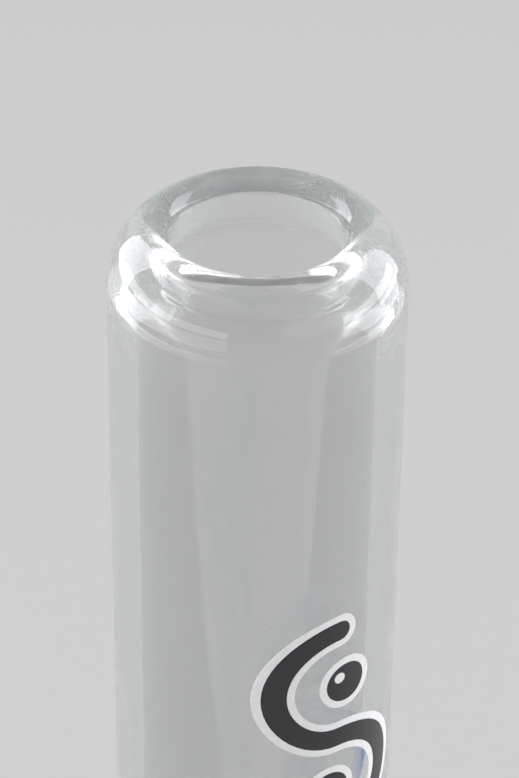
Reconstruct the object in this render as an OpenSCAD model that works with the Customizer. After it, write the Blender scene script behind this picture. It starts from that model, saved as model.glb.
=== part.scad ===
// Straight glass water pipe: a thick-walled tube with a rolled-in mouth, welded to a round
// foot and to a slanting ground-glass socket. A downstem drops into the socket, a bowl drops
// into the downstem, and a wire gauze lies in the bowl. A decorative print runs down the tube.
// Units are millimetres. The origin is the centre of the foot's underside, +Z is up, the
// socket leans towards +X, and -Y is the front.

/* [Tube] */
// Outside diameter of the tube
tube_od = 50; // [42:1:60]
// Thickness of the tube's wall
tube_wall = 5; // [4:0.5:6]
// Height of the mouth above the underside of the foot
body_h = 400; // [330:5:480]

/* [Mouth] */
// How far the rolled-in lip reaches inwards from the tube's outer face
lip_reach = 10.7; // [9:0.1:12.8]
// Radius of the round shoulder between the tube and the lip
shoulder_r = 12.7; // [10.6:0.1:15.2]
// Radius of the rounding on top of the lip
lip_r = 3.4; // [2.9:0.1:4]
// Height of the straight inner face of the lip
lip_land = 3; // [2:0.5:4]
// Radius of the rounding under the lip
lip_under_r = 2.8; // [2.2:0.1:3.2]
// Slope of the lip's underside, down towards the wall
lip_slope = 20; // [15:1:30]

/* [Ice notches] */
// Distance from the lower end of the print down to the middle of the notches
notch_gap = 47; // [30:1:60]
// How deep each notch is pressed in
notch_depth = 9; // [6:0.5:10]
// Radius of the tool that presses a notch
notch_tool_r = 11; // [9:0.5:13]
// Direction of the first notch about the tube, from the front
notch_turn = 30; // [0:5:115]

/* [Foot] */
// Diameter of the foot
foot_d = 110; // [92:1:132]
// Thickness of the foot at its rim
foot_rim_t = 5; // [4:0.5:6]
// Thickness of the foot under the tube
floor_t = 8; // [6.5:0.5:10]
// Radius of the weld between the foot and the tube
foot_weld_r = 5; // [3:0.5:8]

/* [Side socket] */
// Angle of the socket above the horizontal
joint_angle = 45; // [40:1:50]
// Height at which the socket's axis meets the tube's axis
joint_z = 32; // [30:1:40]
// Length of the socket along its axis, outside the tube's outer face
socket_reach = 36; // [34:1:46]
// Diameter of the large ground joint at its wide end
big_joint_d = 18.8; // [16:0.1:22.5]
// Length of the large ground joint
big_joint_len = 26; // [22:1:30]
// Wall of the socket at its wide end
socket_wall = 2.4; // [2:0.1:3]

/* [Downstem] */
// Outside diameter of the dip tube
stem_od = 12; // [10:0.5:14]
// Wall of the dip tube
stem_wall = 1.8; // [1.5:0.1:2.2]
// Length of the downstem's head above the large joint
head_len = 10; // [8:0.5:12]
// Diameter of the small ground joint at its wide end
small_joint_d = 14.5; // [12.2:0.1:15]
// Length of the small ground joint
small_joint_len = 23; // [19:1:26]
// Length of the diffuser slits
slit_len = 16; // [10:1:20]
// Width of the diffuser slits
slit_w = 1.2; // [0.8:0.1:1.6]

/* [Bowl] */
// Outside diameter of the bowl
bowl_od = 33; // [28:0.5:40]
// Wall of the bowl
bowl_wall = 2.8; // [2.3:0.1:3.4]
// Height of the straight upper part of the bowl
bowl_side = 11; // [10:0.5:14]
// Diameter of the smoke hole
hole_d = 6; // [5:0.5:7]
// Diameter of the wire gauze
gauze_d = 15; // [12.5:0.5:18]
// Length of the bowl's handle
handle_len = 24; // [20:1:30]
// Diameter of the bowl's handle
handle_d = 6.4; // [5:0.2:7.6]

/* [Print] */
// Distance of the print's upper end below the mouth
print_drop = 65; // [55:1:80]
// Direction of the print's middle about the tube, from the front towards the socket
print_turn = 36; // [0:1:90]
// Width of the print's black stroke
stroke = 4; // [3:0.1:5]
// Width of the white outline round the black stroke
outline = 1.35; // [1:0.05:1.7]
// Radius of each bend of the wave, to the middle of its stroke
bend_r = 11.75; // [9.5:0.05:12]
// Number of bends in the wave
bends = 6; // [2:1:8]
// Radius of the bubble in each bend
bubble_r = 4; // [2:0.1:4.6]

/* [Hidden] */
$fn = 96;

arc_steps = 10;       // straight pieces in each rounded stretch of an outline
taper = 0.05;         // change of radius per unit of length in a standard 1:10 ground joint
joint_clear = 0.05;   // gap between the two faces of a ground joint
joint_proud = 2;      // length of a ground cone that stays outside its socket
cone_short = 1;       // how much shorter a ground cone is than its socket at the narrow end
bead = 1.2;           // radius of the fire-polished bead on a glass rim
ink_t = 0.1;          // thickness of one layer of ink
gauze_t = 0.4;        // thickness of the wire gauze
gauze_clear = 0.15;   // gap between the gauze and the funnel that holds it
stem_floor_gap = 8;   // gap between the dip tube and the floor of the tube
stem_wall_gap = 5;    // gap between the dip tube and the far wall of the tube
notches = 3;
slits = 6;

// Tube and mouth
tube_r = tube_od / 2;
bore_r = tube_r - tube_wall;
mouth_r = tube_r - lip_reach;
lip_z = body_h - lip_r;                       // centre of the rounding on top of the lip
land_z = lip_z - lip_land;                    // lower end of the lip's straight face
lip_in = tube_r - shoulder_r - mouth_r - lip_r; // from the lip's centre out to the shoulder's
shoulder_z = lip_z - sqrt(pow(shoulder_r - lip_r, 2) - pow(lip_in, 2));
blend_a = atan2(lip_z - shoulder_z, -lip_in); // where the shoulder runs into the lip
under_x = mouth_r + lip_under_r * (1 - sin(lip_slope)); // inner end of the sloping underside
hollow_r = (bore_r - under_x) / (1 - sin(lip_slope));   // hollow corner under the lip
corner_z = land_z - (lip_under_r + hollow_r) * cos(lip_slope);

// Distances along the socket's axis, from the tube's axis outwards
wall_s = tube_r / cos(joint_angle);
socket_s = wall_s + socket_reach;
big_r = big_joint_d / 2;
big_end_r = big_r - taper * big_joint_len;
socket_r = big_r + socket_wall;
cone_top_s = socket_s + joint_proud;
cone_low_s = socket_s - big_joint_len + cone_short;
stem_r = stem_od / 2;
stem_bore_r = stem_r - stem_wall;
throat_len = 8;                               // run from the ground cone in to the dip tube
adapter_s = cone_low_s - throat_len;
stem_end_s = max((floor_t + stem_floor_gap + stem_r * cos(joint_angle) - joint_z) / sin(joint_angle),
                 -(bore_r - stem_wall_gap - stem_r * sin(joint_angle)) / cos(joint_angle));
head_s = cone_top_s + head_len;
small_r = small_joint_d / 2;
small_end_r = small_r - taper * small_joint_len;
small_low_s = head_s - small_joint_len;
head_r = max(big_r + taper * joint_proud + 0.8, small_r + 2.8);
bowl_s = head_s + joint_proud;                // top of the bowl's ground cone
neck_len = 4;
neck_s = bowl_s + neck_len;
bowl_r = bowl_od / 2;
bowl_in_r = bowl_r - bowl_wall;
hole_r = hole_d / 2;
flare_len = (bowl_r - small_r) * 0.95;        // height of the bowl's spreading lower part
funnel_s = neck_s + 1;                        // narrow end of the funnel
side_s = neck_s + flare_len + bowl_wall / 2;  // wide end of the funnel
rim_s = neck_s + flare_len + bowl_side;
funnel_slope = (side_s - funnel_s) / (bowl_in_r - hole_r);
gauze_r = gauze_d / 2;
gauze_s = funnel_s + (gauze_r + gauze_clear - hole_r) * funnel_slope;
handle_s = neck_s + flare_len + bowl_side / 2;
handle_ball_r = handle_d * 0.72;

// Print, as a flat drawing whose X runs round the tube and whose Y runs up it
print_top = body_h - print_drop;
print_low = print_top - 2 * bends * bend_r - stroke - 2 * outline;
print_far = 4 * bend_r;                       // larger than any one bend

// Ice notches, below the print
notch_z = print_low - notch_gap;
notch_r = tube_r + notch_tool_r - notch_depth; // distance of the pressing tool from the axis

function arc(x, y, r, from, to, n = arc_steps) =
    [for (i = [0:n]) let (a = from + (to - from) * i / n) [x + r * cos(a), y + r * sin(a)]];

module on_joint_axis() translate([0, 0, joint_z]) rotate([0, 90 - joint_angle, 0]) children();

module turned(points) rotate_extrude() polygon(points);

module ring_shell(inner, outer, h) difference() {
    cylinder(r = outer, h = h);
    translate([0, 0, -1]) cylinder(r = inner, h = h + 2);
}

// ---- welded glass body ----

module tube_blank() turned(concat(
    [[bore_r, floor_t], [tube_r, floor_t]],
    arc(tube_r - shoulder_r, shoulder_z, shoulder_r, 0, blend_a),
    arc(mouth_r + lip_r, lip_z, lip_r, blend_a + 6, 180),
    arc(mouth_r + lip_under_r, land_z, lip_under_r, 180, 270 - lip_slope, 5),
    arc(bore_r - hollow_r, corner_z, hollow_r, 84 - lip_slope, 0)));

module at_notches() for (i = [0:notches - 1])
    rotate([0, 0, notch_turn + i * 360 / notches - 90]) translate([notch_r, 0, notch_z]) children();

module tube() color([0.86, 0.89, 0.88, 0.4]) difference() {
    union() {
        tube_blank();
        intersection() {
            at_notches() sphere(r = notch_tool_r + tube_wall);
            translate([0, 0, notch_z - 2 * notch_tool_r]) cylinder(r = bore_r + tube_wall / 2, h = 4 * notch_tool_r);
        }
    }
    at_notches() sphere(r = notch_tool_r);
    on_joint_axis() cylinder(r = big_end_r, h = wall_s + socket_r);
}

module foot() color([0.86, 0.89, 0.88, 0.4]) turned(concat(
    [[0, floor_t], [0, 0]],
    arc(foot_d / 2 - foot_rim_t / 2, foot_rim_t / 2, foot_rim_t / 2, -90, 90),
    arc(tube_r + foot_weld_r, floor_t + foot_weld_r, foot_weld_r, 270, 180),
    [[tube_r, floor_t]]));

module side_socket() color([0.86, 0.89, 0.88, 0.4]) difference() {
    on_joint_axis() turned(concat(
        [[big_end_r, 0], [socket_r, 0], [socket_r, socket_s - 3 * bead]],
        arc(socket_r, socket_s - bead, bead, -60, 90, 6),
        [[big_r, socket_s], [big_end_r, socket_s - big_joint_len]]));
    translate([0, 0, -tube_od]) cylinder(r = tube_r, h = body_h);
}

// ---- printed decoration: a wave with a bubble in each bend ----

function bend_y(i) = -(stroke / 2 + outline + bend_r * (2 * i + 1));
function bend_side(i) = i % 2 == 0 ? -1 : 1;

module half_ring(i, width) translate([0, bend_y(i)]) intersection() {
    difference() {
        circle(r = bend_r + width / 2);
        circle(r = bend_r - width / 2);
    }
    translate([bend_side(i) < 0 ? -print_far : 0, -print_far / 2]) square(print_far);
}

module wave(width) {
    for (i = [0:bends - 1]) half_ring(i, width);
    translate([0, bend_y(0) + bend_r]) circle(r = width / 2);
    translate([0, bend_y(bends - 1) - bend_r]) circle(r = width / 2);
}

module bubbles(r) for (i = [0:bends - 1])
    translate([-bend_side(i) * bend_r / 8, bend_y(i)]) circle(r = r);

module glints() for (i = [0:bends - 1])
    translate([-bend_side(i) * bend_r / 8 - bubble_r * 0.35, bend_y(i) + bubble_r * 0.35])
        circle(r = bubble_r * 0.27);

module ink(from, to) intersection() {
    rotate([0, 0, print_turn]) translate([0, 0, print_top]) rotate([90, 0, 0])
        linear_extrude(tube_r + 2 * ink_t + 1) children();
    ring_shell(tube_r + from, tube_r + to, body_h);
}

module inked_shape() {
    wave(stroke);
    difference() {
        bubbles(bubble_r);
        glints();
    }
}

module print_white() color("white") ink(0, 2 * ink_t) {
    difference() {
        wave(stroke + 2 * outline);
        wave(stroke);
    }
    difference() {
        bubbles(bubble_r + outline);
        bubbles(bubble_r);
    }
    glints();
}

module print_blue() color([0.35, 0.47, 0.65]) ink(0, ink_t) inked_shape();

module print_black() color([0.12, 0.12, 0.13]) ink(ink_t, 2 * ink_t) inked_shape();

// ---- downstem, which lifts out of the socket ----

function cone_r(s) = big_r + taper * (s - socket_s) - joint_clear;

module downstem_adapter() color([0.86, 0.89, 0.88, 0.4]) on_joint_axis() turned(concat(
    [[stem_bore_r, adapter_s], [stem_r, adapter_s], [cone_r(cone_low_s), cone_low_s],
     [cone_r(cone_top_s), cone_top_s], [head_r, cone_top_s + 2], [head_r, head_s - 3 * bead]],
    arc(head_r, head_s - bead, bead, -60, 90, 6),
    [[small_r, head_s], [small_end_r, small_low_s], [stem_bore_r, small_low_s - 5]]));

module dip_tube() color([0.86, 0.89, 0.88, 0.4]) on_joint_axis() difference() {
    translate([0, 0, stem_end_s]) cylinder(r = stem_r, h = adapter_s - stem_end_s);
    translate([0, 0, stem_end_s - 1]) cylinder(r = stem_bore_r, h = adapter_s - stem_end_s + 2);
    for (i = [0:slits / 2 - 1]) rotate([0, 0, 360 / slits * i])
        translate([-stem_od, -slit_w / 2, stem_end_s - 1]) cube([2 * stem_od, slit_w, slit_len + 1]);
}

// ---- bowl, which lifts out of the downstem ----

function small_cone_r(s) = small_r + taper * (s - head_s) - joint_clear;

module bowl_joint() color([0.86, 0.89, 0.88, 0.4]) on_joint_axis() turned([
    [hole_r, small_low_s + cone_short], [small_cone_r(small_low_s + cone_short), small_low_s + cone_short],
    [small_cone_r(bowl_s), bowl_s], [hole_r, bowl_s]]);

module bowl_cup() color([0.86, 0.89, 0.88, 0.4]) on_joint_axis() turned(concat(
    [[hole_r, bowl_s], [small_cone_r(bowl_s), bowl_s], [small_cone_r(bowl_s), neck_s - 1]],
    [for (i = [0:arc_steps]) let (a = 90 * i / arc_steps)
        [small_cone_r(bowl_s) + (bowl_r - small_cone_r(bowl_s)) * sin(a), neck_s + flare_len * (1 - cos(a))]],
    arc(bowl_r - bowl_wall / 2, rim_s - bowl_wall / 2, bowl_wall / 2, 0, 180),
    [[bowl_in_r, side_s], [hole_r, funnel_s]]));

module bowl_handle() color([0.86, 0.89, 0.88, 0.4]) on_joint_axis() difference() {
    translate([0, 0, handle_s]) rotate([90, 0, 0]) union() {
        cylinder(d = handle_d, h = bowl_r + handle_len - handle_ball_r);
        translate([0, 0, bowl_r + handle_len - handle_ball_r]) sphere(r = handle_ball_r);
    }
    translate([0, 0, neck_s]) cylinder(r = bowl_r, h = rim_s);
}

module gauze() color([0.62, 0.6, 0.56]) on_joint_axis()
    translate([0, 0, gauze_s]) cylinder(r = gauze_r, h = gauze_t);

tube();
foot();
side_socket();
print_white();
print_blue();
print_black();
downstem_adapter();
dip_tube();
bowl_joint();
bowl_cup();
bowl_handle();
gauze();
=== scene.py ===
"""Straight glass water pipe: the looks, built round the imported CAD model.

Lengths in this script are millimetres, as in the CAD source, and new_piece() turns them into metres.
The frame is the CAD frame: the origin is the centre of the foot's underside, +Z is up the tube,
the side socket leans towards +X, and -Y is the front.
"""

import math

import bmesh
import bpy
import numpy as np
from mathutils import Euler, Matrix, Vector


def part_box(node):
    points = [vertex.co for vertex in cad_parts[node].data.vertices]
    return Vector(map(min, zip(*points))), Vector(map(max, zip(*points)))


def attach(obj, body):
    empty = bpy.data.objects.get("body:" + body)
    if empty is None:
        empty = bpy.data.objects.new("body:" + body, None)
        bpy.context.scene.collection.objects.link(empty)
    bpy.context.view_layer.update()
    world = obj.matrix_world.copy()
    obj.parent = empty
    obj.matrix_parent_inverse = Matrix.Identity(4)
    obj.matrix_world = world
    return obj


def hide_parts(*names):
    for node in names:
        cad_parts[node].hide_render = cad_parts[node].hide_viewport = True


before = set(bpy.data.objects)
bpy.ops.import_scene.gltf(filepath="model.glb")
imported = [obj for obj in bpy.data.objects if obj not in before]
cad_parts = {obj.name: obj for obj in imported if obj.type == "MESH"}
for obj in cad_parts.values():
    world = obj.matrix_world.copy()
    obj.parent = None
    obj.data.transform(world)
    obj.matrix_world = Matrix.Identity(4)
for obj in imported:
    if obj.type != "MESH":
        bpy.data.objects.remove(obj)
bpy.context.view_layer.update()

MM = 0.001


def node_box(name):
    """Lowest and highest corners of a CAD node, in millimetres."""
    low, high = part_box(name)
    return np.array(low) / MM, np.array(high) / MM


# ---- sizes ----

tube_low, tube_high = node_box("tube")
foot_low, foot_high = node_box("foot")
mouth_top = tube_high[2]
tube_r = round((tube_high[0] - tube_low[0]) / 2, 1)
foot_r = round((foot_high[1] - foot_low[1]) / 2)
tube_wall = 5
bore_r = tube_r - tube_wall

lip_reach = 10.7
shoulder_r = 12.7
lip_r = 3.4
lip_land = 3
lip_under_r = 2.8
lip_slope = 20

notch_gap = 47
notch_depth = 9
notch_tool_r = 11
notch_turn = 30
notches = 3

foot_rim_t = 5
floor_t = 8
foot_weld_r = 5
floor_fillet = 4

joint_angle = math.radians(45)
joint_z = 32
socket_reach = 36
big_joint_r = 9.4
big_joint_len = 26
socket_wall = 2.4
taper = 0.05
joint_clear = 0.05
joint_proud = 2
cone_short = 1
bead = 1.2
socket_edge = 0.5
outer_weld_r = 3.2
inner_weld_r = 1.2

stem_r = 6
stem_wall = 1.8
head_len = 10
small_joint_r = 7.25
small_joint_len = 23
slit_len = 16
slit_w = 1.2
slits = 6
throat_len = 8
stem_floor_gap = 8
stem_wall_gap = 5

bowl_r = 16.5
bowl_wall = 2.8
bowl_side = 11
hole_r = 3
gauze_r = 7.5
handle_len = 24
handle_r = 3.2

print_drop = 65
print_turn = math.radians(36)
stroke = 4
outline = 1.35
bend_r = 11.75
bends = 6
bubble_r = 4
notch_z = mouth_top - print_drop - 2 * bends * bend_r - stroke - 2 * outline - notch_gap

# Distances along the joint's axis, from the tube's axis outwards
wall_s = tube_r / math.cos(joint_angle)
socket_s = wall_s + socket_reach
cone_top_s = socket_s + joint_proud
cone_low_s = socket_s - big_joint_len + cone_short
adapter_s = cone_low_s - throat_len
head_s = cone_top_s + head_len
bowl_s = head_s + joint_proud
neck_s = bowl_s + 4
bowl_in_r = bowl_r - bowl_wall
stem_bore_r = stem_r - stem_wall
small_low_s = head_s - small_joint_len
small_end_r = small_joint_r - taper * small_joint_len
head_r = max(big_joint_r + taper * joint_proud + 0.8, small_joint_r + 2.8)
gauze_t = 0.4
gauze_clear = 0.15
flare_len = (bowl_r - small_joint_r) * 0.95
funnel_s = neck_s + 1
side_s = neck_s + flare_len + bowl_wall / 2
rim_s = neck_s + flare_len + bowl_side
handle_s = neck_s + flare_len + bowl_side / 2
handle_ball_r = 2 * handle_r * 0.72
gauze_s = funnel_s + (gauze_r + gauze_clear - hole_r) * (side_s - funnel_s) / (bowl_in_r - hole_r)
socket_r = big_joint_r + socket_wall
stem_end_s = max(
    (floor_t + stem_floor_gap + stem_r * math.cos(joint_angle) - joint_z) / math.sin(joint_angle),
    -(bore_r - stem_wall_gap - stem_r * math.sin(joint_angle)) / math.cos(joint_angle),
)

around = 256  # columns of faces round the tube
branch_half_columns = around // 8  # half the width of the window that a branch is welded into
branch_rows = 26
branch_row_step = 2
fine_step = 0.8  # height of a row of faces at the notches
weld_step = 3
plain_step = 4
notch_reach = 20  # how far above and below its middle a notch is meshed finely


# ---- mesh tools ----


class Skin:
    """Points and faces of one piece, joined into one closed surface when the piece is made."""

    def __init__(self):
        self.points = []
        self.faces = []
        self.slots = []

    def grid(self, rows, closed=False, slot=0):
        """Adds quads between rows of points. closed joins each row's end to its start."""
        start = len(self.points)
        width = len(rows[0])
        for row in rows:
            self.points.extend(row)
        for r in range(len(rows) - 1):
            for c in range(width if closed else width - 1):
                a = start + r * width + c
                b = start + r * width + (c + 1) % width
                self.faces.append((a, b, b + width, a + width))
                self.slots.append(slot)

    def fan(self, ring, centre, slot=0):
        """Closes a ring of points with triangles to its centre."""
        start = len(self.points)
        self.points.extend(list(ring) + [centre])
        for c in range(len(ring)):
            self.faces.append((start + c, start + (c + 1) % len(ring), start + len(ring)))
            self.slots.append(slot)


def new_piece(name, skin, materials, crease=40):
    """Makes a smooth-shaded object from a skin, with edges over crease degrees kept sharp."""
    mesh = bpy.data.meshes.new(name)
    mesh.from_pydata([tuple(float(x) * MM for x in p) for p in skin.points], [], skin.faces)
    for material in materials:
        mesh.materials.append(material)
    mesh.polygons.foreach_set("material_index", skin.slots)
    work = bmesh.new()
    work.from_mesh(mesh)
    bmesh.ops.remove_doubles(work, verts=work.verts, dist=0.002 * MM)
    bmesh.ops.dissolve_degenerate(work, edges=work.edges, dist=0.0005 * MM)
    bmesh.ops.recalc_face_normals(work, faces=work.faces)
    work.to_mesh(mesh)
    work.free()
    mesh.polygons.foreach_set("use_smooth", [True] * len(mesh.polygons))
    mesh.set_sharp_from_angle(angle=math.radians(crease))
    piece = bpy.data.objects.new(name, mesh)
    bpy.context.scene.collection.objects.link(piece)
    return piece


def arc(x, y, r, start, end, steps):
    """Points of an arc, from start to end degrees."""
    angles = np.radians(np.linspace(start, end, steps + 1))
    return [(x + r * math.cos(a), y + r * math.sin(a)) for a in angles]


def line(a, b, steps):
    """Points from a to b, without a itself."""
    return [tuple(np.array(a) + (np.array(b) - np.array(a)) * i / steps) for i in range(1, steps + 1)]


def spread(start, end, step):
    """Even values from start to end, about a step apart."""
    return list(np.linspace(start, end, max(2, round(abs(end - start) / step) + 1)))


def full_turn(columns):
    """Even angles round a full turn."""
    return [2 * math.pi * c / columns for c in range(columns)]


def upright(profile, columns=around):
    """Rings about +Z for a profile of (radius, height)."""
    return [[(r * math.cos(t), r * math.sin(t), z) for t in full_turn(columns)] for r, z in profile]


axis_cos = math.cos(joint_angle)
axis_sin = math.sin(joint_angle)


def lay_on_joint_axis(skin):
    """Turns a skin made about +Z on to the joint's axis. Its +X becomes the front, -Y."""
    skin.points = [(z * axis_cos + y * axis_sin, -x, joint_z + z * axis_sin - y * axis_cos)
                   for x, y, z in skin.points]


# ---- welded branches: a round branch that leaves a cylinder through a window in its grid ----


class Branch:
    """A round branch of radius r that leaves a cylinder of radius cylinder_r about +Z, towards +X.

    rise is its angle above the horizontal and centre_z the height where the two axes meet.
    loop holds the window's edge, as (distance round the cylinder, height), and turns the
    branch's own angle for each of its points.
    """

    def __init__(self, cylinder_r, r, rise, axis_z, rows, row_step, half_columns, columns):
        self.cylinder_r = cylinder_r
        self.r = r
        self.rise = rise
        self.axis_z = axis_z
        self.centre_z = axis_z + cylinder_r * math.tan(rise)
        self.low_z = self.centre_z - rows * row_step / 2
        self.row_z = [self.low_z + i * row_step for i in range(rows + 1)]
        self.half_columns = half_columns
        self.columns = columns
        step = 2 * math.pi / columns * cylinder_r
        sides = [i * step for i in range(-half_columns, half_columns + 1)]
        edge = [(sides[-1], z) for z in self.row_z]
        edge += [(x, self.row_z[-1]) for x in sides[::-1][1:]]
        edge += [(sides[0], z) for z in self.row_z[::-1][1:]]
        edge += [(x, self.row_z[0]) for x in sides[1:-1]]
        self.loop = edge
        fine = np.linspace(-math.pi, math.pi, 7201)
        found = np.array([self.flat(self.meeting(t)) for t in fine])
        heading = np.unwrap(np.arctan2(found[:, 1] - self.centre_z, found[:, 0]))
        order = np.argsort(heading)
        wanted = np.array([math.atan2(z - self.centre_z, x) for x, z in edge])
        middle = (heading.min() + heading.max()) / 2
        wanted = (wanted - middle + math.pi) % (2 * math.pi) - math.pi + middle
        self.headings = wanted
        self.turns = list(np.interp(wanted, heading[order], fine[order]))

    def meeting(self, turn):
        """Where the branch's line at this turn meets the cylinder."""
        y = self.r * math.sin(turn)
        x = math.sqrt(self.cylinder_r**2 - y**2)
        across = self.r * math.cos(turn)
        s = (x + across * math.sin(self.rise)) / math.cos(self.rise)
        return (x, y, self.axis_z + s * math.sin(self.rise) + across * math.cos(self.rise), s)

    def flat(self, point):
        return (self.cylinder_r * math.atan2(point[1], point[0]), point[2])

    def wrapped(self, x, z):
        a = x / self.cylinder_r
        return (self.cylinder_r * math.cos(a), self.cylinder_r * math.sin(a), z)

    def on_branch(self, s, r, turn):
        across = r * math.cos(turn)
        return (
            s * math.cos(self.rise) - across * math.sin(self.rise),
            r * math.sin(turn),
            self.axis_z + s * math.sin(self.rise) + across * math.cos(self.rise),
        )

    def in_window(self, column, z):
        """True if the grid's cell that starts at this column and height is inside the window."""
        signed = (column + self.columns // 2) % self.columns - self.columns // 2
        inside = -self.half_columns <= signed < self.half_columns
        return inside and self.row_z[0] - 0.01 <= z < self.row_z[-1] - 0.01

    def weld(self, skin, fillet, end_s, steps=6, slot=0):
        """Adds the window's patch, the rounded weld and the branch as far as end_s. Returns the last ring."""
        patch = []
        bend = []
        starts = []
        for (x, z), heading, turn in zip(self.loop, self.headings, self.turns):
            corner = self.meeting(turn)
            fx, fz = self.flat(corner)
            foot_x = fx + fillet * math.cos(heading)
            foot_z = fz + fillet * math.sin(heading)
            ease = [1 - (1 - i / 8) ** 1.5 for i in range(9)]
            patch.append([self.wrapped(x + (foot_x - x) * e, z + (foot_z - z) * e) for e in ease])
            p0 = np.array(self.wrapped(foot_x, foot_z))
            p1 = np.array(corner[:3])
            p2 = np.array(self.on_branch(corner[3] + fillet, self.r, turn))
            bend.append([tuple((1 - t) ** 2 * p0 + 2 * t * (1 - t) * p1 + t * t * p2)
                         for t in np.linspace(0, 1, steps + 1)])
            starts.append(corner[3] + fillet)
        skin.grid([list(ring) for ring in zip(*patch)], closed=True, slot=slot)
        skin.grid([list(ring) for ring in zip(*bend)], closed=True, slot=slot)
        run = [
            [self.on_branch(s0 + (end_s - s0) * i / 10, self.r, t) for s0, t in zip(starts, self.turns)]
            for i in range(11)
        ]
        skin.grid(run, closed=True, slot=slot)
        return run[-1]


def wall_grid(skin, heights, point, branch=None, columns=around, slot=0):
    """A closed wall of quads, point(angle, height) giving its points, open where a branch leaves it."""
    turns = full_turn(columns)
    start = len(skin.points)
    for z in heights:
        skin.points.extend(point(t, z) for t in turns)
    for r in range(len(heights) - 1):
        for c in range(columns):
            if branch and branch.in_window(c, heights[r]):
                continue
            a = start + r * columns + c
            b = start + r * columns + (c + 1) % columns
            skin.faces.append((a, b, b + columns, a + columns))
            skin.slots.append(slot)


# ---- materials ----


class Nodes:
    """Short calls for building a material's nodes."""

    def __init__(self, name):
        self.material = bpy.data.materials.new(name)
        self.material.use_nodes = True
        self.tree = self.material.node_tree
        self.tree.nodes.clear()
        self.output = self.tree.nodes.new("ShaderNodeOutputMaterial")

    def add(self, kind, **inputs):
        """Adds a node. Inputs are given by name, or as i and a number, as a value or as another's output.

        A setting of the node itself, such as its operation, is given with set_ before its name.
        """
        settings = {k: inputs.pop(k) for k in list(inputs) if k.startswith("set_")}
        node = self.tree.nodes.new(kind)
        for key, value in settings.items():
            setattr(node, key[4:], value)
        for key, value in inputs.items():
            by_number = key[0] == "i" and key[1:].isdigit()
            socket = node.inputs[int(key[1:]) if by_number else key.replace("_", " ")]
            if isinstance(value, bpy.types.NodeSocket):
                self.tree.links.new(value, socket)
            else:
                socket.default_value = value
        return node

    def math(self, operation, a, b=0.0, clamp=False):
        return self.add("ShaderNodeMath", set_operation=operation, set_use_clamp=clamp, i0=a, i1=b).outputs[0]

    def object_place(self):
        return self.add("ShaderNodeTexCoord").outputs["Object"]

    def noise(self, place, scale, detail=2.0, rough=0.5):
        node = self.add("ShaderNodeTexNoise", Vector=place, Scale=scale, Detail=detail, Roughness=rough)
        return node.outputs["Fac"]

    def ramp(self, fac, low, high):
        """fac spread from 0 at low to 1 at high."""
        return self.add("ShaderNodeMapRange", Value=fac, From_Min=low, From_Max=high).outputs["Result"]

    def bump(self, height, distance, strength=1.0):
        node = self.add("ShaderNodeBump", Height=height, Distance=distance, Strength=strength)
        return node.outputs["Normal"]

    def show(self, shader):
        self.tree.links.new(shader, self.output.inputs["Surface"])
        return self.material

    def show_glass(self, shader, shade, leak=0.0, body=None):
        """Shows a glass shader that lets lamps through to what is behind it, tinted by shade.

        leak is the share of light that passes straight on at each surface. Without it, light that is
        caught between the wall's two faces would never come out, and the wall would look black.
        body is the colour that the glass takes on in depth.
        """
        path = self.add("ShaderNodeLightPath").outputs["Is Shadow Ray"]
        clear = self.add("ShaderNodeBsdfTransparent", Color=(*shade, 1)).outputs[0]
        passing = self.math("MAXIMUM", path, leak)
        mixed = self.add("ShaderNodeMixShader", i0=passing, i1=shader, i2=clear).outputs[0]
        if body:
            inner = self.add("ShaderNodeVolumeAbsorption", Color=(*body, 1), Density=glass_depth).outputs[0]
            self.tree.links.new(inner, self.output.inputs["Volume"])
        return self.show(mixed)


glass_tint = (0.83, 0.83, 0.83)
# The greenish streak tint is painted light: it stands in for light guided round the mouth's wall.
painted_light_streak_tint = (0.86, 0.92, 0.87)
pale_green = (0.6, 0.95, 0.7)
glass_ior = 1.474
plain_haze = 0.012
mouth_haze = 0.055
# The streak haze is painted light: whiter scatter along the streak lines that stands in for light guided
# round the mouth's wall.
painted_light_streak_haze = 0.2
streak_height = 0.000006
glass_leak = 0.08
glass_depth = 2.0
streak_run = 240.0
streak_count = 150.0
streak_low = (mouth_top - 24) * MM
streak_high = (mouth_top - 8) * MM


def streaks(n, place):
    """Fine contour-like ripples where the mouth was rolled in, which also carry painted light: lighter
    greenish lines on the mouth's left and right sides that stand in for light guided round the wall; and the
    nearness to the mouth, 0 to 1.
    """
    split = n.add("ShaderNodeSeparateXYZ", Vector=place).outputs
    radius = n.math("SQRT", n.math("ADD", n.math("MULTIPLY", split[0], split[0]),
                                   n.math("MULTIPLY", split[1], split[1])))
    across = n.math("DIVIDE", split[0], radius)
    back = n.math("DIVIDE", split[1], radius)
    around_x = n.math("MULTIPLY", across, 2.2)
    around_y = n.math("MULTIPLY", back, 2.2)
    up = n.math("MULTIPLY", split[2], streak_run)
    where = n.add("ShaderNodeCombineXYZ", X=around_x, Y=around_y, Z=up).outputs[0]
    inward = n.math("MULTIPLY", radius, streak_run)
    flow = n.add("ShaderNodeTexNoise", set_noise_dimensions="4D", Vector=where, W=inward,
                 Scale=1.0, Detail=2.0, Roughness=0.45).outputs["Fac"]
    wave = n.math("SINE", n.math("MULTIPLY", flow, streak_count))
    lines = n.math("ADD", n.math("MULTIPLY", wave, 0.5), 0.5)
    inner = n.ramp(radius, (bore_r + 1.8) * MM, (bore_r + 1.0) * MM)
    # Painted light: the streak lines are kept to the mouth's left and right sides, where light guided round
    # the wall shows from the front.
    sides = n.math("MULTIPLY", n.ramp(n.math("ABSOLUTE", across), 0.25, 0.5), n.ramp(back, -0.75, -0.35))
    mouth = n.ramp(split[2], streak_low, streak_high)
    sharp = n.math("POWER", lines, 2.0)
    return n.math("MULTIPLY", sharp, n.math("MULTIPLY", inner, n.math("MULTIPLY", sides, mouth))), mouth


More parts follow.
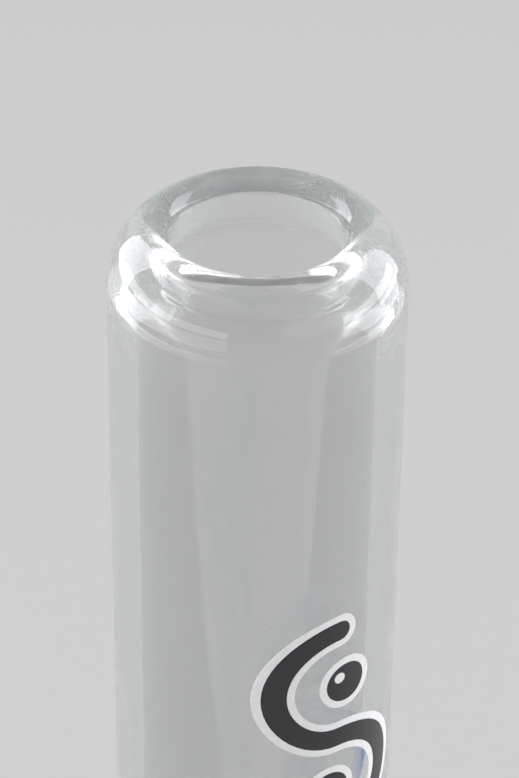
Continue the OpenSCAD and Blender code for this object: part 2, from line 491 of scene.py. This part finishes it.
def dust(n, place):
    """A few tiny specks, 0 or 1."""
    cells = n.add("ShaderNodeTexVoronoi", Vector=place, Scale=330.0).outputs
    near = n.math("LESS_THAN", cells["Distance"], 0.035)
    few = n.math("GREATER_THAN", n.add("ShaderNodeSeparateColor", Color=cells["Color"]).outputs[0], 0.86)
    return n.math("MULTIPLY", near, few)


def clear_glass(name):
    """Borosilicate glass: faintly hazy, with contour ripples round the mouth that also carry painted light
    lines on its left and right sides, and a little dust.
    """
    n = Nodes(name)
    place = n.object_place()
    lines, mouth = streaks(n, place)
    haze = n.math("ADD", n.math("MULTIPLY", mouth, mouth_haze), plain_haze)
    # Painted light: whiter scatter and a greenish tint along the streak lines on the mouth's sides.
    haze = n.math("ADD", n.math("MULTIPLY", lines, painted_light_streak_haze), haze)
    cloud = n.math("MAXIMUM", haze, n.math("MULTIPLY", dust(n, place), 0.8))
    colour = n.add("ShaderNodeMix", set_data_type="RGBA", i0=lines, i6=(*glass_tint, 1),
                   i7=(*painted_light_streak_tint, 1)).outputs[2]
    shader = n.add(
        "ShaderNodeBsdfPrincipled",
        Base_Color=colour,
        Roughness=0.0,
        IOR=glass_ior,
        Transmission_Weight=n.math("SUBTRACT", 1.0, cloud),
        Normal=n.bump(lines, streak_height),
    ).outputs[0]
    return n.show_glass(shader, (0.985, 0.99, 0.985), glass_leak, pale_green)


def ground_glass(name):
    """Finely ground glass: half matt, and lets light through without a clear view."""
    n = Nodes(name)
    place = n.object_place()
    grain = n.noise(place, 9000, 3)
    shader = n.add(
        "ShaderNodeBsdfPrincipled",
        Base_Color=(0.93, 0.94, 0.935, 1),
        Roughness=0.42,
        IOR=glass_ior,
        Transmission_Weight=0.75,
        Normal=n.bump(grain, 0.00004, 0.6),
    ).outputs[0]
    return n.show_glass(shader, (0.72, 0.73, 0.725))


def ink(name, colour):
    """Fired screen-print enamel: a slightly mottled, satin layer."""
    n = Nodes(name)
    place = n.object_place()
    mottle = n.noise(place, 900, 4, 0.6)
    level = n.ramp(mottle, 0.3, 0.7)
    dark = tuple(c * 0.93 for c in colour)
    mixed = n.add("ShaderNodeMix", set_data_type="RGBA", i0=level, i6=(*dark, 1), i7=(*colour, 1)).outputs[2]
    shader = n.add(
        "ShaderNodeBsdfPrincipled",
        Base_Color=mixed,
        Roughness=0.32,
        IOR=1.5,
        Normal=n.bump(n.noise(place, 4000, 3), 0.00001, 0.5),
    ).outputs[0]
    return n.show(shader)


def wire_steel(name):
    """Fine stainless wire, with slight changes of tone."""
    n = Nodes(name)
    place = n.object_place()
    tone = n.ramp(n.noise(place, 1200, 3), 0.35, 0.65)
    mixed = n.add("ShaderNodeMix", set_data_type="RGBA", i0=tone, i6=(0.42, 0.38, 0.33, 1),
                  i7=(0.66, 0.64, 0.6, 1)).outputs[2]
    shader = n.add("ShaderNodeBsdfPrincipled", Base_Color=mixed, Metallic=1.0, Roughness=0.34,
                   Normal=n.bump(n.noise(place, 9000, 2), 0.00001, 0.6)).outputs[0]
    return n.show(shader)


glass = clear_glass("clear_glass")
frosted = ground_glass("ground_glass")
white_ink = ink("white_ink", (0.84, 0.85, 0.84))
black_ink = ink("black_ink", (0.022, 0.022, 0.024))
navy_ink = ink("navy_ink", (0.006, 0.006, 0.09))
blue_ink = ink("blue_ink", (0.21, 0.33, 0.55))
steel = wire_steel("steel_wire")


# ---- the tube, its foot and its socket: one welded piece of glass ----


def soft_min(a, b, blend):
    """The smaller of a and b, rounded where they cross."""
    h = max(blend - abs(a - b), 0) / blend
    return min(a, b) - h * h * blend / 4


def notched(radius, tool, turn, z):
    """Radius of a wall of this radius where round tools are pressed into it."""
    best = radius
    centre = tube_r + notch_tool_r - notch_depth
    for i in range(notches):
        aim = math.radians(notch_turn - 90 + 360 / notches * i)
        off = math.atan2(math.sin(turn - aim), math.cos(turn - aim))
        if abs(off) > 1.2:
            continue
        room = tool**2 - (z - notch_z) ** 2 - (centre * math.sin(off)) ** 2
        near = centre * math.cos(off) - (math.sqrt(room) if room > 0 else -math.sqrt(-room))
        best = soft_min(best, near, 2.5)
    return best


def lip_profiles():
    """The shoulder from the outer wall up to the top of the lip, and from there in and down to the bore."""
    mouth_r = tube_r - lip_reach
    lip_z = mouth_top - lip_r
    land_z = lip_z - lip_land
    lip_in = lip_reach - shoulder_r - lip_r
    shoulder_z = lip_z - math.sqrt((shoulder_r - lip_r) ** 2 - lip_in**2)
    blend = math.degrees(math.atan2(lip_z - shoulder_z, -lip_in))
    turned = 270 - lip_slope
    under_x = mouth_r + lip_under_r * (1 + math.cos(math.radians(turned)))
    hollow_r = (bore_r - under_x) / (1 + math.cos(math.radians(turned)))
    corner_z = land_z + (lip_under_r + hollow_r) * math.sin(math.radians(turned))
    outer = arc(tube_r - shoulder_r, shoulder_z, shoulder_r, 0, blend, 40)
    outer += arc(mouth_r + lip_r, lip_z, lip_r, blend, 180, 36)[1:]
    inner = [outer[-1]]
    inner += line(inner[-1], (mouth_r, land_z), 8)
    inner += arc(mouth_r + lip_under_r, land_z, lip_under_r, 180, turned, 24)[1:]
    inner += arc(bore_r - hollow_r, corner_z, hollow_r, turned - 180, 0, 40)[1:]
    return outer, inner, shoulder_z, corner_z


def glass_body():
    skin = Skin()
    outer_lip, inner_lip, shoulder_z, corner_z = lip_profiles()
    window = (branch_rows, branch_row_step, branch_half_columns, around)
    outer = Branch(tube_r, socket_r, joint_angle, joint_z, *window)
    inner = Branch(bore_r, big_joint_r - taper * big_joint_len, joint_angle, joint_z, *window)
    notch_low = notch_z - notch_reach
    notch_high = notch_z + notch_reach

    weld_top = floor_t + foot_weld_r
    outside = spread(weld_top, outer.row_z[0], weld_step)[:-1] + outer.row_z
    outside += spread(outer.row_z[-1], notch_low, plain_step)[1:]
    outside += spread(notch_low, notch_high, fine_step)[1:] + spread(notch_high, shoulder_z, plain_step)[1:]

    def outside_point(turn, z):
        r = notched(tube_r, notch_tool_r, turn, z) if notch_low < z < notch_high else tube_r
        return (r * math.cos(turn), r * math.sin(turn), z)

    wall_grid(skin, outside, outside_point, outer)

    inside = spread(floor_t + floor_fillet, inner.row_z[0], weld_step)[:-1] + inner.row_z
    inside += spread(inner.row_z[-1], notch_low, plain_step)[1:]
    inside += spread(notch_low, notch_high, fine_step)[1:] + spread(notch_high, corner_z, plain_step)[1:]

    def inside_point(turn, z):
        r = notched(bore_r, notch_tool_r + tube_wall, turn, z) if notch_low < z < notch_high else bore_r
        return (r * math.cos(turn), r * math.sin(turn), z)

    wall_grid(skin, inside, inside_point, inner)

    skin.grid(upright(outer_lip), closed=True)
    skin.grid(upright(inner_lip), closed=True)

    rim_r = foot_rim_t / 2
    foot = arc(tube_r + foot_weld_r, weld_top, foot_weld_r, 180, 262, 12)
    slope_end = arc(foot_r - rim_r, rim_r, rim_r, 84, -90, 18)
    foot += line(foot[-1], slope_end[0], 8) + slope_end[1:]
    foot += line(foot[-1], (3, 0), 8)
    skin.grid(upright(foot), closed=True)
    skin.fan(upright([(3, 0)])[0], (0, 0, 0))

    bottom = arc(bore_r - floor_fillet, floor_t + floor_fillet, floor_fillet, 0, -90, 10)
    bottom += line(bottom[-1], (3, floor_t), 6)
    skin.grid(upright(bottom), closed=True)
    skin.fan(upright([(3, floor_t)])[0], (0, 0, floor_t))

    bead_s = socket_s - 3 * bead
    edge_x = big_joint_r + socket_edge
    outer.weld(skin, outer_weld_r, bead_s)
    mouth = [(socket_r, bead_s)] + arc(socket_r, socket_s - bead, bead, -60, 90, 12)
    mouth += line(mouth[-1], (edge_x, socket_s), 3)
    skin.grid([[outer.on_branch(s, r, t) for t in outer.turns] for r, s in mouth], closed=True)
    joint_end_s = socket_s - big_joint_len
    cone = arc(edge_x, socket_s - socket_edge, socket_edge, 90, 180, 5)
    skin.grid([[inner.on_branch(s, r, t) for t in inner.turns] for r, s in cone], closed=True)
    seam = [[b.on_branch(socket_s, edge_x, t) for t in b.turns] for b in (outer, inner)]
    skin.grid(seam, closed=True)
    ground = [cone[-1]] + line(cone[-1], (inner.r, joint_end_s), 12)
    skin.grid([[inner.on_branch(s, r, t) for t in inner.turns] for r, s in ground], closed=True, slot=1)
    inner.weld(skin, inner_weld_r, joint_end_s)
    return new_piece("glass_body_tube", skin, [glass, frosted])


pipe = glass_body()
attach(pipe, "glass_body")
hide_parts("tube", "foot", "side_socket")


# ---- downstem: one piece of glass, with slits sawn in its lower end ----

slit_columns = 4
land_columns = 12


def cone_r(s):
    return big_joint_r + taper * (s - socket_s) - joint_clear


def small_cone_r(s):
    return small_joint_r + taper * (s - head_s) - joint_clear


def eased(a, b, steps):
    """Points of an S-shaped run from a to b, (radius, distance) each, without a itself."""
    run = []
    for i in range(1, steps + 1):
        t = i / steps
        run.append((a[0] + (b[0] - a[0]) * t * t * (3 - 2 * t), a[1] + (b[1] - a[1]) * t))
    return run


def slit_turns(r):
    """Turns of the columns at radius r, with a few columns across each slit and more between slits."""
    half = math.asin(slit_w / 2 / r)
    turns = []
    for i in range(slits):
        middle = 2 * math.pi * i / slits
        turns += list(np.linspace(middle - half, middle + half, slit_columns + 1))[:-1]
        turns += list(np.linspace(middle + half, middle + 2 * math.pi / slits - half, land_columns + 1))[:-1]
    return turns


def downstem():
    skin = Skin()
    edge = 0.5
    outside = [(small_joint_r + edge, head_s)] + arc(head_r, head_s - bead, bead, 90, -60, 12)
    outside += eased(outside[-1], (head_r, head_s - 3 * bead), 4)
    outside += line(outside[-1], (head_r, cone_top_s + 3), 3)
    outside += arc(head_r - 0.8, cone_top_s + 2.2, 0.8, 0, -70, 5)[1:]
    ground_out = len(outside)
    outside += line((cone_r(cone_top_s), cone_top_s), (cone_r(cone_low_s), cone_low_s), 12)
    outside += eased(outside[-1], (stem_r, adapter_s), 12)
    slit_s = stem_end_s + slit_len
    outside += line(outside[-1], (stem_r, slit_s + 2), 16)
    rows = [slit_s + 1]
    rows += spread(slit_s - slit_w / 2, stem_end_s + stem_wall / 2, 1.5)
    tip = arc(stem_r - stem_wall / 2, stem_end_s + stem_wall / 2, stem_wall / 2, 0, -180, 8)
    outside += [(stem_r, s) for s in rows[:-1]]
    inside = [(stem_bore_r, s) for s in rows[:-1]][::-1]
    inside += line(inside[-1], (stem_bore_r, small_low_s - 5), 24)
    inside += line(inside[-1], (small_end_r, small_low_s), 5)
    ground_in = len(outside) + len(tip) + len(inside)
    inside += line(inside[-1], (small_joint_r, head_s - edge), 12)
    inside += arc(small_joint_r + edge, head_s - edge, edge, 180, 90, 4)[1:]
    profile = outside + tip + inside
    middle = len(outside) + len(tip) // 2
    below = slit_s - slit_w / 2 + 0.01
    top = next(i for i, (r, s) in enumerate(profile) if s < below and i > ground_out)
    top_in = 2 * middle - top
    width = slits * (slit_columns + land_columns)
    for i, (r, s) in enumerate(profile):
        for c, t in enumerate(slit_turns(r)):
            across = c % (slit_columns + land_columns)
            lift = 0
            if i in (top, top_in) and across < slit_columns:
                u = 2 * across / slit_columns - 1
                lift = slit_w / 2 * math.sqrt(1 - u * u)
            skin.points.append((r * math.cos(t), r * math.sin(t), s + lift))
    for i in range(len(profile) - 1):
        slot = 1 if ground_out <= i < ground_out + 11 or ground_in <= i < ground_in + 12 else 0
        for c in range(width):
            if top <= i < top_in and c % (slit_columns + land_columns) < slit_columns:
                continue
            a = i * width + c
            b = i * width + (c + 1) % width
            skin.faces.append((a, b, b + width, a + width))
            skin.slots.append(slot)
    for i in range(slits):
        first = i * (slit_columns + land_columns)
        for k in range(slit_columns):
            a = top * width + first + k
            b = top_in * width + first + k
            skin.faces.append((a, a + 1, b + 1, b))
            skin.slots.append(1)
        for side in (first, first + slit_columns):
            for j in range(top, middle):
                a = j * width + side
                b = (2 * middle - j) * width + side
                skin.faces.append((a, a + width, b - width, b) if j + 1 < middle else (a, a + width, b))
                skin.slots.append(1)
    lay_on_joint_axis(skin)
    return new_piece("downstem_glass", skin, [glass, frosted])


stem = downstem()
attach(stem, "downstem")
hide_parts("downstem_adapter", "dip_tube")


# ---- bowl: cup, ground cone and handle in one piece of glass ----


def bowl_glass():
    skin = Skin()
    columns = 128
    branch = Branch(bowl_r, handle_r, 0, handle_s, 10, 0.8, 6, columns)
    cone_end = small_low_s + cone_short
    edge = 0.4
    low = [(hole_r, cone_end + edge)] + arc(hole_r + edge, cone_end + edge, edge, 180, 270, 4)[1:]
    low += line(low[-1], (small_cone_r(cone_end) - edge, cone_end), 3)
    low += arc(small_cone_r(cone_end) - edge, cone_end + edge, edge, -90, 0, 4)[1:]
    skin.grid(upright(low, columns), closed=True)
    cone = [low[-1]] + line(low[-1], (small_cone_r(bowl_s), bowl_s), 12)
    skin.grid(upright(cone, columns), closed=True, slot=1)
    neck_r = small_cone_r(bowl_s)
    flare = [cone[-1]] + line(cone[-1], (neck_r, neck_s - 1), 3)
    for i in range(25):
        a = math.pi / 2 * i / 24
        flare.append((neck_r + (bowl_r - neck_r) * math.sin(a), neck_s + flare_len * (1 - math.cos(a))))
    flare += line(flare[-1], (bowl_r, branch.row_z[0]), 2)
    skin.grid(upright(flare, columns), closed=True)

    def side_point(turn, z):
        return (bowl_r * math.cos(turn), bowl_r * math.sin(turn), z)

    wall_grid(skin, branch.row_z, side_point, branch, columns)
    rim_r = bowl_wall / 2
    rim = [(bowl_r, branch.row_z[-1])] + arc(bowl_r - rim_r, rim_s - rim_r, rim_r, 0, 180, 20)
    rim += line(rim[-1], (bowl_in_r, side_s + 1.5), 6)
    rim += arc(bowl_in_r - 2.5, side_s + 1.5, 2.5, 0, -38, 6)[1:]
    rim += line(rim[-1], (hole_r + 0.8, funnel_s + 0.3), 12)
    rim += line(rim[-1], (hole_r, funnel_s - 0.6), 3)
    rim += line(rim[-1], low[0], 14)
    skin.grid(upright(rim, columns), closed=True)
    ball_s = bowl_r + handle_len - handle_ball_r
    neck = 7.5
    branch.weld(skin, 0.7, bowl_r + 3)
    shaft = []
    for i in range(13):
        t = i / 12
        waist = 0.45 * math.sin(math.pi * t) ** 2
        shaft.append((handle_r - waist, bowl_r + 3 + (ball_s - neck - bowl_r) * t))
    start = math.degrees(math.acos(-0.72))
    shaft += [(handle_ball_r * math.sin(math.radians(a)), ball_s + handle_ball_r * math.cos(math.radians(a)))
              for a in np.linspace(start, 8, 20)]
    skin.grid([[branch.on_branch(s, r, t) for t in branch.turns] for r, s in shaft], closed=True)
    r, s = shaft[-1]
    tip = branch.on_branch(ball_s + handle_ball_r, 0, 0)
    skin.fan([branch.on_branch(s, r, t) for t in branch.turns], tip)
    lay_on_joint_axis(skin)
    return new_piece("bowl_glass", skin, [glass, frosted])


bowl = bowl_glass()
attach(bowl, "bowl")
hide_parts("bowl_joint", "bowl_cup", "bowl_handle")


# ---- gauze: woven wire ----


def woven_gauze():
    skin = Skin()
    wire_r = gauze_t / 4
    pitch = 0.72
    sides = 6
    count = int(gauze_r / pitch)
    for way in (0, 1):
        for i in range(-count, count + 1):
            off = i * pitch
            reach = math.sqrt(max(gauze_r**2 - off * off, 0)) - wire_r
            if reach < pitch:
                continue
            rings = []
            for along in spread(-reach, reach, pitch / 4):
                wave = math.sin(math.pi * along / pitch + math.pi * (i % 2) + math.pi * (0.5 + way))
                height = gauze_s + gauze_t / 2 + wire_r * wave
                ring = []
                for k in range(sides):
                    a = 2 * math.pi * k / sides
                    across = off + wire_r * math.cos(a)
                    up = height + wire_r * math.sin(a)
                    ring.append((along, across, up) if way == 0 else (across, along, up))
                rings.append(ring)
            skin.grid(rings, closed=True)
            for ring in (rings[0], rings[-1]):
                skin.fan(ring, tuple(np.mean(ring, axis=0)))
    lay_on_joint_axis(skin)
    return new_piece("woven_gauze", skin, [steel], crease=60)


gauze = woven_gauze()
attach(gauze, "screen")
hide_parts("gauze")


# ---- print: a wave with a bubble in each bend, in layers of ink ----


def print_point(x, y, r):
    """A point of the flat drawing, carried straight on to a cylinder of radius r."""
    depth = math.sqrt(r * r - x * x)
    turned_x = x * math.cos(print_turn) + depth * math.sin(print_turn)
    turned_y = x * math.sin(print_turn) - depth * math.cos(print_turn)
    return (turned_x, turned_y, mouth_top - print_drop + y)


def bend_y(i):
    return -(stroke / 2 + outline + bend_r * (2 * i + 1))


def wave_path(steps=26):
    """Points of the wave's middle line with the unit vector across it, to the left of the way down."""
    path = []
    for i in range(bends):
        side = -1 if i % 2 == 0 else 1
        for k in range(0 if i == 0 else 1, steps + 1):
            a = math.radians(90 - side * 180 * k / steps)
            out = (math.cos(a), math.sin(a))
            path.append(((bend_r * out[0], bend_y(i) + bend_r * out[1]), (-side * out[0], -side * out[1])))
    return path


class Sheet:
    """A flat drawing in quads, which becomes a thin closed shell on the tube."""

    def __init__(self):
        self.skin = Skin()

    def band(self, rows, closed=False):
        self.skin.grid([[(x, y, 0) for x, y in row] for row in rows], closed=closed)

    def disc(self, x, y, r, rings=5, columns=48):
        rows = []
        for k in range(1, rings + 1):
            d = r * k / rings
            rows.append([(x + d * math.cos(t), y + d * math.sin(t)) for t in full_turn(columns)])
        self.band(rows, closed=True)
        self.skin.fan([(px, py, 0) for px, py in rows[0]], (x, y, 0))

    def shell(self, name, low, high, materials, under=0):
        """Closes the drawing into a shell from radius low to radius high. under is the inner face's slot."""
        work = bmesh.new()
        verts = [work.verts.new(p) for p in self.skin.points]
        for f in self.skin.faces:
            work.faces.new([verts[i] for i in f])
        bmesh.ops.remove_doubles(work, verts=work.verts, dist=0.002)
        bmesh.ops.dissolve_degenerate(work, edges=work.edges, dist=0.0005)
        work.verts.index_update()
        flat = [tuple(v.co) for v in work.verts]
        faces = [[v.index for v in f.verts] for f in work.faces]
        edges = [[v.index for v in e.verts] for e in work.edges if len(e.link_faces) == 1]
        work.free()
        count = len(flat)
        out = Skin()
        out.points = [print_point(x, y, high) for x, y, z in flat]
        out.points += [print_point(x, y, low) for x, y, z in flat]
        out.faces = faces + [[i + count for i in f][::-1] for f in faces]
        out.slots = [0] * len(faces) + [under] * len(faces)
        out.faces += [(a, b, b + count, a + count) for a, b in edges]
        out.slots += [0] * len(edges)
        return new_piece(name, out, materials, crease=30)


def ribbon(sheet, half, shift=(0, 0)):
    """The wave as a solid ribbon with round ends."""
    across = np.linspace(-1, 1, 9)
    path = wave_path()
    rows = [[(p[0] + n[0] * half * u + shift[0], p[1] + n[1] * half * u + shift[1]) for u in across]
            for p, n in path]
    sheet.band(rows)
    for (p, n), way in ((path[0], -1), (path[-1], 1)):
        ahead = (-n[1] * way, n[0] * way)
        cap = []
        for k in range(7):
            cap.append([])
            for u in np.sin(across * math.pi / 2):
                reach = half * math.sqrt(max(1 - u * u, 0)) * k / 6
                cap[-1].append((p[0] + n[0] * half * u + ahead[0] * reach + shift[0],
                                p[1] + n[1] * half * u + ahead[1] * reach + shift[1]))
        sheet.band(cap)


def outline_band(sheet, inner, outer):
    """The outline round the wave, from inner to outer distances off its middle line."""
    path = wave_path()
    loop = list(path)
    loop += [(path[-1][0], n_turned(path[-1][1], 180 * k / 16)) for k in range(1, 16)]
    loop += [(p, (-n[0], -n[1])) for p, n in path[::-1]]
    loop += [(path[0][0], n_turned((-path[0][1][0], -path[0][1][1]), 180 * k / 16)) for k in range(1, 16)]
    rows = [[(p[0] + n[0] * d, p[1] + n[1] * d) for p, n in loop] for d in np.linspace(inner, outer, 4)]
    sheet.band(rows, closed=True)


def n_turned(n, degrees):
    a = math.radians(degrees)
    return (n[0] * math.cos(a) - n[1] * math.sin(a), n[0] * math.sin(a) + n[1] * math.cos(a))


def ring_band(sheet, x, y, inner, outer, columns=48):
    rows = [[(x + d * math.cos(t), y + d * math.sin(t)) for t in full_turn(columns)]
            for d in np.linspace(inner, outer, 3)]
    sheet.band(rows, closed=True)


def bubble_places():
    return [((-1 if i % 2 else 1) * bend_r / 8, bend_y(i)) for i in range(bends)]


white_sheet = Sheet()
outline_band(white_sheet, stroke / 2 - 0.1, stroke / 2 + outline)
for bx, by in bubble_places():
    ring_band(white_sheet, bx, by, bubble_r - 0.1, bubble_r + outline)

white_print = white_sheet.shell("print_outline", tube_r - 0.05, tube_r + 0.12, [white_ink])
blue_sheet = Sheet()
ribbon(blue_sheet, stroke / 2)
for bx, by in bubble_places():
    blue_sheet.disc(bx, by, bubble_r)
blue_print = blue_sheet.shell("print_underlay", tube_r - 0.06, tube_r + 0.02, [blue_ink])
navy_print = blue_sheet.shell("print_key_line", tube_r + 0.04, tube_r + 0.13, [navy_ink])
black_sheet = Sheet()
ribbon(black_sheet, stroke / 2 - 0.08, (0.07, -0.07))
for bx, by in bubble_places():
    black_sheet.disc(bx + 0.07, by - 0.07, bubble_r - 0.08)
black_print = black_sheet.shell("print_stroke", tube_r + 0.08, tube_r + 0.16, [black_ink])
glint_sheet = Sheet()
for bx, by in bubble_places():
    glint_sheet.disc(bx - bubble_r * 0.35, by + bubble_r * 0.35, bubble_r * 0.27, rings=3, columns=24)
glint_print = glint_sheet.shell("print_glints", tube_r + 0.1, tube_r + 0.19, [white_ink])

for piece, slot_name in ((white_print, "white_ink"), (glint_print, "white_ink"), (blue_print, "blue_ink"),
                         (navy_print, "blue_ink"), (black_print, "black_ink")):
    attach(piece, "glass_body")
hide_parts("print_white")
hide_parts("print_blue")
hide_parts("print_black")


# ---- camera, floor and lights ----

camera_back = 420.3
camera_up = 247.0
camera_pitch = math.radians(33.64)
camera_roll = math.radians(0.66)
camera_pan = math.radians(0.067)
camera_lens = 138.1

camera_data = bpy.data.cameras.new("camera")
camera_data.lens = camera_lens
camera_data.sensor_width = 36
camera_data.clip_start = 0.01
camera = bpy.data.objects.new("camera", camera_data)
bpy.context.scene.collection.objects.link(camera)
aim = Euler((math.pi / 2 - camera_pitch, 0, -camera_pan)).to_matrix() @ Matrix.Rotation(camera_roll, 3, "Z")
camera.matrix_world = Matrix.Translation((0, -camera_back * MM, (mouth_top + camera_up) * MM)) @ aim.to_4x4()
bpy.context.scene.camera = camera


def floor_material():
    """Pale paper that glows a little, so that it stays as even as a studio sweep."""
    n = Nodes("floor_paper")
    place = n.object_place()
    paper = n.add("ShaderNodeBsdfPrincipled", Base_Color=(0.08, 0.08, 0.08, 1), Roughness=0.9,
                  Specular_IOR_Level=0.1, Normal=n.bump(n.noise(place, 300, 3), 0.0002, 0.1)).outputs[0]
    glow = n.add("ShaderNodeEmission", Color=(0.52, 0.52, 0.52, 1), Strength=1.0).outputs[0]
    return n.show(n.add("ShaderNodeAddShader", i0=paper, i1=glow).outputs[0])


def make_floor():
    """A level sheet of paper, just under the foot."""
    mesh = bpy.data.meshes.new("floor")
    size = 4.0
    corners = [(-size, -size, 0), (size, -size, 0), (size, size, 0), (-size, size, 0)]
    mesh.from_pydata(corners, [], [(0, 1, 2, 3)])
    mesh.materials.append(floor_material())
    floor = bpy.data.objects.new("floor", mesh)
    floor.location = (0, 0, -0.0002)
    bpy.context.scene.collection.objects.link(floor)


make_floor()


def panel(name, start, end, low, high, distance, radiance, colour=(1, 1, 1)):
    """An upright lamp that faces the tube's mouth and fills the view from there.

    start and end are its bearings from -Y towards +X, and low and high its elevations, all in degrees.
    """
    middle = math.radians((start + end) / 2)
    width = 2 * distance * math.tan(math.radians(abs(end - start) / 2))
    base = mouth_top * MM + distance * math.tan(math.radians(low))
    top = mouth_top * MM + distance * math.tan(math.radians(high))
    data = bpy.data.lights.new(name, "AREA")
    data.shape = "RECTANGLE"
    data.size = width
    data.size_y = top - base
    data.color = colour
    data.energy = radiance * math.pi * width * (top - base)
    lamp = bpy.data.objects.new(name, data)
    lamp.location = (distance * math.sin(middle), -distance * math.cos(middle), (base + top) / 2)
    lamp.rotation_euler = Euler((math.pi / 2, 0, middle))
    bpy.context.scene.collection.objects.link(lamp)
    lamp.visible_camera = False


lavender = (0.9, 0.9, 1.0)
panel("left_high", -119, -70, -1, 9, 1.0, 3.8)
panel("left_low", -119, -70, -21, -4, 1.0, 2.3)
panel("left_fill_high", -70, -21, -1, 9, 1.0, 2.2)
panel("left_fill_low", -70, -21, -21, -4, 1.0, 1.3)
panel("left_softbox", -141, -110, -7, 41, 0.9, 5.0, lavender)
panel("right_high", 64, 126, -1, 9, 1.0, 3.3)
panel("right_low", 64, 126, -21, -4, 1.0, 2.0)
panel("right_softbox", 99, 132, -9, 46, 0.9, 4.2, lavender)

world = bpy.data.worlds.new("studio")
world.use_nodes = True
world.node_tree.nodes["Background"].inputs["Color"].default_value = (0.6, 0.6, 0.6, 1)
world.node_tree.nodes["Background"].inputs["Strength"].default_value = 1.0
bpy.context.scene.world = world

scene = bpy.context.scene
scene.view_settings.view_transform = "Standard"
scene.cycles.max_bounces = 96
scene.cycles.transmission_bounces = 96
scene.cycles.glossy_bounces = 96
scene.cycles.transparent_max_bounces = 32
scene.cycles.caustics_reflective = False
scene.cycles.caustics_refractive = False
